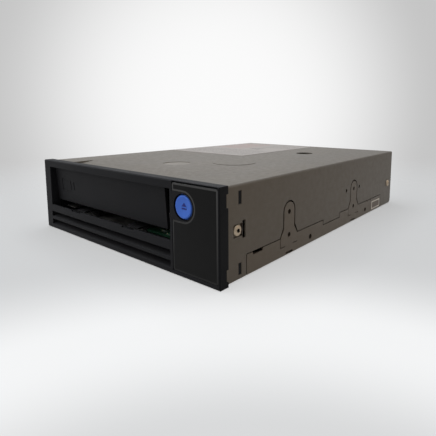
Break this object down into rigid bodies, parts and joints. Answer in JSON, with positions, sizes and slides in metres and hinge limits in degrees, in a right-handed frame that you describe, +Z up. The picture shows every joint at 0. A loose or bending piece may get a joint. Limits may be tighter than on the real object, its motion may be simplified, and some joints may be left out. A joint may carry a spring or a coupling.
{
  "type": "data tape drive",
  "caption": "Half-height internal tape cartridge drive: sheet-metal body, black bezel with swing-in slot door, unload button, loader, reels, head and rear data connector.",
  "frame": {"origin": "centre of the drive's footprint, at the foot of the bezel", "axes": "-Y is the front with the slot, +X is the side with the unload button, +Z is up"},
  "size_m": [0.1484, 0.2106, 0.0424],
  "materials": {
    "bezel_plastic": "fine textured black moulding",
    "panel_film": "smooth dark smoked film",
    "button_blue": "satin blue moulding",
    "cover_steel": "plated sheet steel, dull grey",
    "base_steel": "plated sheet steel, dull grey",
    "deck_metal": "die cast and machined",
    "bright_steel": "ground or rolled steel",
    "screw_steel": "zinc plated",
    "spring_steel": "drawn wire",
    "guide_black": "black low-friction moulding",
    "gear_white": "natural acetal",
    "board_green": "solder-masked laminate",
    "chip_black": "moulded package",
    "can_metal": "bright can",
    "port_black": "connector moulding",
    "lamp_clear": "clear moulding",
    "head_dark": "polished ceramic",
    "roller_metal": "turned, fine finish",
    "flex_amber": "polyimide film",
    "label_paper": "printed paper label",
    "sticker_paper": "small printed label"
  },
  "bodies": {
    "chassis": {"base_chassis": "base_steel", "top_cover": "cover_steel", "rear_panel": "base_steel", "front_bezel": "bezel_plastic", "panel_overlay": "panel_film", "button_spring": "spring_steel", "panel_board": "board_green", "unload_switch": "chip_black", "status_lamps": "lamp_clear", "light_guide": "lamp_clear", "door_spring": "spring_steel", "slot_guides": "guide_black", "guide_fingers": "guide_black", "cartridge_leaf_spring": "bright_steel", "load_motor": "bright_steel", "loader_bracket": "bright_steel", "side_rail": "guide_black", "memory_reader_board": "board_green", "deck_frame": "deck_metal", "hub_motor_stator": "bright_steel", "reel_motor_stator": "bright_steel", "roller_posts": "bright_steel", "head_base": "deck_metal", "head_guide_rods": "bright_steel", "head_motor": "bright_steel", "threader_post": "bright_steel", "threader_motor": "bright_steel", "main_board": "board_green", "board_chips": "chip_black", "board_capacitors": "can_metal", "data_connector": "port_black", "service_port": "port_black", "panel_flex": "flex_amber", "top_label": "label_paper", "side_label": "sticker_paper", "cover_screws": "screw_steel", "deck_screws": "screw_steel", "board_screws": "screw_steel"},
    "door": {"cartridge_door": "bezel_plastic"},
    "button": {"unload_button": "button_blue"},
    "rack_slider": {"load_rack": "bright_steel"},
    "tray": {"cartridge_tray": "bright_steel"},
    "load_gear": {"load_gear": "gear_white"},
    "motor_pinion": {"load_motor_pinion": "gear_white"},
    "drive_hub": {"hub_rotor": "bright_steel", "hub_clutch": "guide_black"},
    "takeup": {"reel_rotor": "bright_steel", "takeup_reel": "guide_black", "takeup_reel_flange": "guide_black"},
    "roller_a": {"guide_roller_a": "roller_metal"},
    "roller_b": {"guide_roller_b": "roller_metal"},
    "roller_c": {"guide_roller_c": "roller_metal"},
    "roller_d": {"guide_roller_d": "roller_metal"},
    "lead_screw": {"lead_screw": "bright_steel"},
    "head": {"head_carriage": "deck_metal", "read_write_head": "head_dark"},
    "threader": {"threader_gear": "gear_white", "threader_arm": "bright_steel", "leader_grabber": "guide_black"},
    "threader_pinion": {"threader_pinion": "gear_white"}
  },
  "joints": [
    {"name": "door_swing", "type": "hinge", "parent": "chassis", "child": "door", "pos_m": [0, -0.10155, 0.039], "axis": [1, 0, 0], "range_deg": [0, 86], "stiffness_Nm_per_rad": 0.002, "springref_deg": -34.38, "deforming": ["door_spring"]},
    {"name": "button_press", "type": "slide", "parent": "chassis", "child": "button", "axis": [0, 1, 0], "range_m": [0, 0.0006], "stiffness_N_per_m": 300, "springref_m": -0.0006, "deforming": ["button_spring"]},
    {"name": "load_slide", "type": "slide", "parent": "chassis", "child": "rack_slider", "axis": [0, 1, 0], "range_m": [0, 0.024]},
    {"name": "tray_drop", "type": "slide", "parent": "rack_slider", "child": "tray", "axis": [0, 0, -1], "range_m": [0, 0.003]},
    {"name": "load_gear_turn", "type": "hinge", "parent": "chassis", "child": "load_gear", "pos_m": [0.05275, -0.03785, 0.0105], "axis": [0, 0, 1], "range_deg": [-172, 0]},
    {"name": "motor_pinion_turn", "type": "hinge", "parent": "chassis", "child": "motor_pinion", "pos_m": [0.06175, -0.04985, 0.018], "axis": [0, 0, 1], "range_deg": [0, 344]},
    {"name": "hub_spin", "type": "hinge", "parent": "chassis", "child": "drive_hub", "pos_m": [-0.01425, -0.04385, 0.0105], "axis": [0, 0, 1], "continuous": true},
    {"name": "reel_spin", "type": "hinge", "parent": "chassis", "child": "takeup", "pos_m": [-0.026, 0.05215, 0.0105], "axis": [0, 0, 1], "continuous": true},
    {"name": "roller_a_spin", "type": "hinge", "parent": "chassis", "child": "roller_a", "pos_m": [0.052, 0.00215, 0.0132], "axis": [0, 0, 1], "continuous": true},
    {"name": "roller_b_spin", "type": "hinge", "parent": "chassis", "child": "roller_b", "pos_m": [0.057, 0.02215, 0.0132], "axis": [0, 0, 1], "continuous": true},
    {"name": "roller_c_spin", "type": "hinge", "parent": "chassis", "child": "roller_c", "pos_m": [0.056, 0.05215, 0.0132], "axis": [0, 0, 1], "continuous": true},
    {"name": "roller_d_spin", "type": "hinge", "parent": "chassis", "child": "roller_d", "pos_m": [0.0335, 0.07315, 0.0132], "axis": [0, 0, 1], "continuous": true},
    {"name": "head_shift", "type": "slide", "parent": "chassis", "child": "head", "axis": [0, 0, 1], "range_m": [-0.0015, 0.0015]},
    {"name": "lead_screw_turn", "type": "hinge", "parent": "chassis", "child": "lead_screw", "pos_m": [0.03, 0.03915, 0.0105], "axis": [0, 0, 1], "range_deg": [-181, 181]},
    {"name": "threader_swing", "type": "hinge", "parent": "chassis", "child": "threader", "pos_m": [0.0458, 0.06405, 0.0315], "axis": [0, 0, 1], "range_deg": [-38, 0]},
    {"name": "threader_pinion_turn", "type": "hinge", "parent": "chassis", "child": "threader_pinion", "pos_m": [0.05853, 0.07678, 0.0315], "axis": [0, 0, 1], "range_deg": [0, 77]}
  ],
  "couplings": [
    {"joint": "load_gear_turn", "follows": "load_slide", "rad_per_m": -125},
    {"joint": "motor_pinion_turn", "follows": "load_slide", "rad_per_m": 250},
    {"joint": "lead_screw_turn", "follows": "head_shift", "rad_per_m": 2094.4},
    {"joint": "threader_pinion_turn", "follows": "threader_swing", "ratio": -2}
  ]
}
